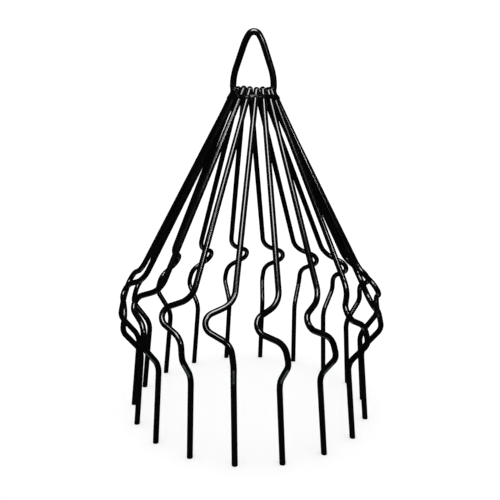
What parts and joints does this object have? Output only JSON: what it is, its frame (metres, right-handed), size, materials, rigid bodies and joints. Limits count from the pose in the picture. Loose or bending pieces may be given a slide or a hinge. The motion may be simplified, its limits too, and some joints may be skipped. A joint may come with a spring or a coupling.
{
  "type": "fruit picker basket",
  "caption": "Basket of bent wire ribs gathered in a collar under a hanging loop, with straight tines that pull fruit off the branch.",
  "frame": {"origin": "centre of the circle of tine tips, on the plane that the tips stand on", "axes": "+Z from the tips up to the hanging loop; the hanging loop lies in the XZ plane"},
  "size_m": [0.1671, 0.1674, 0.2358],
  "materials": {
    "coated_wire": "gloss black dip coat",
    "coated_weld": "gloss black dip coat over rough weld beads"
  },
  "bodies": {
    "root": {"loop_wire": "coated_wire", "collar_ring": "coated_wire", "collar_welds": "coated_weld", "rib_01": "coated_wire", "rib_02": "coated_wire", "rib_03": "coated_wire", "rib_04": "coated_wire", "rib_05": "coated_wire", "rib_06": "coated_wire", "rib_07": "coated_wire", "rib_08": "coated_wire", "rib_09": "coated_wire", "rib_10": "coated_wire", "rib_11": "coated_wire", "rib_12": "coated_wire", "rib_13": "coated_wire", "rib_14": "coated_wire", "rib_15": "coated_wire", "rib_16": "coated_wire"}
  },
  "joints": []
}
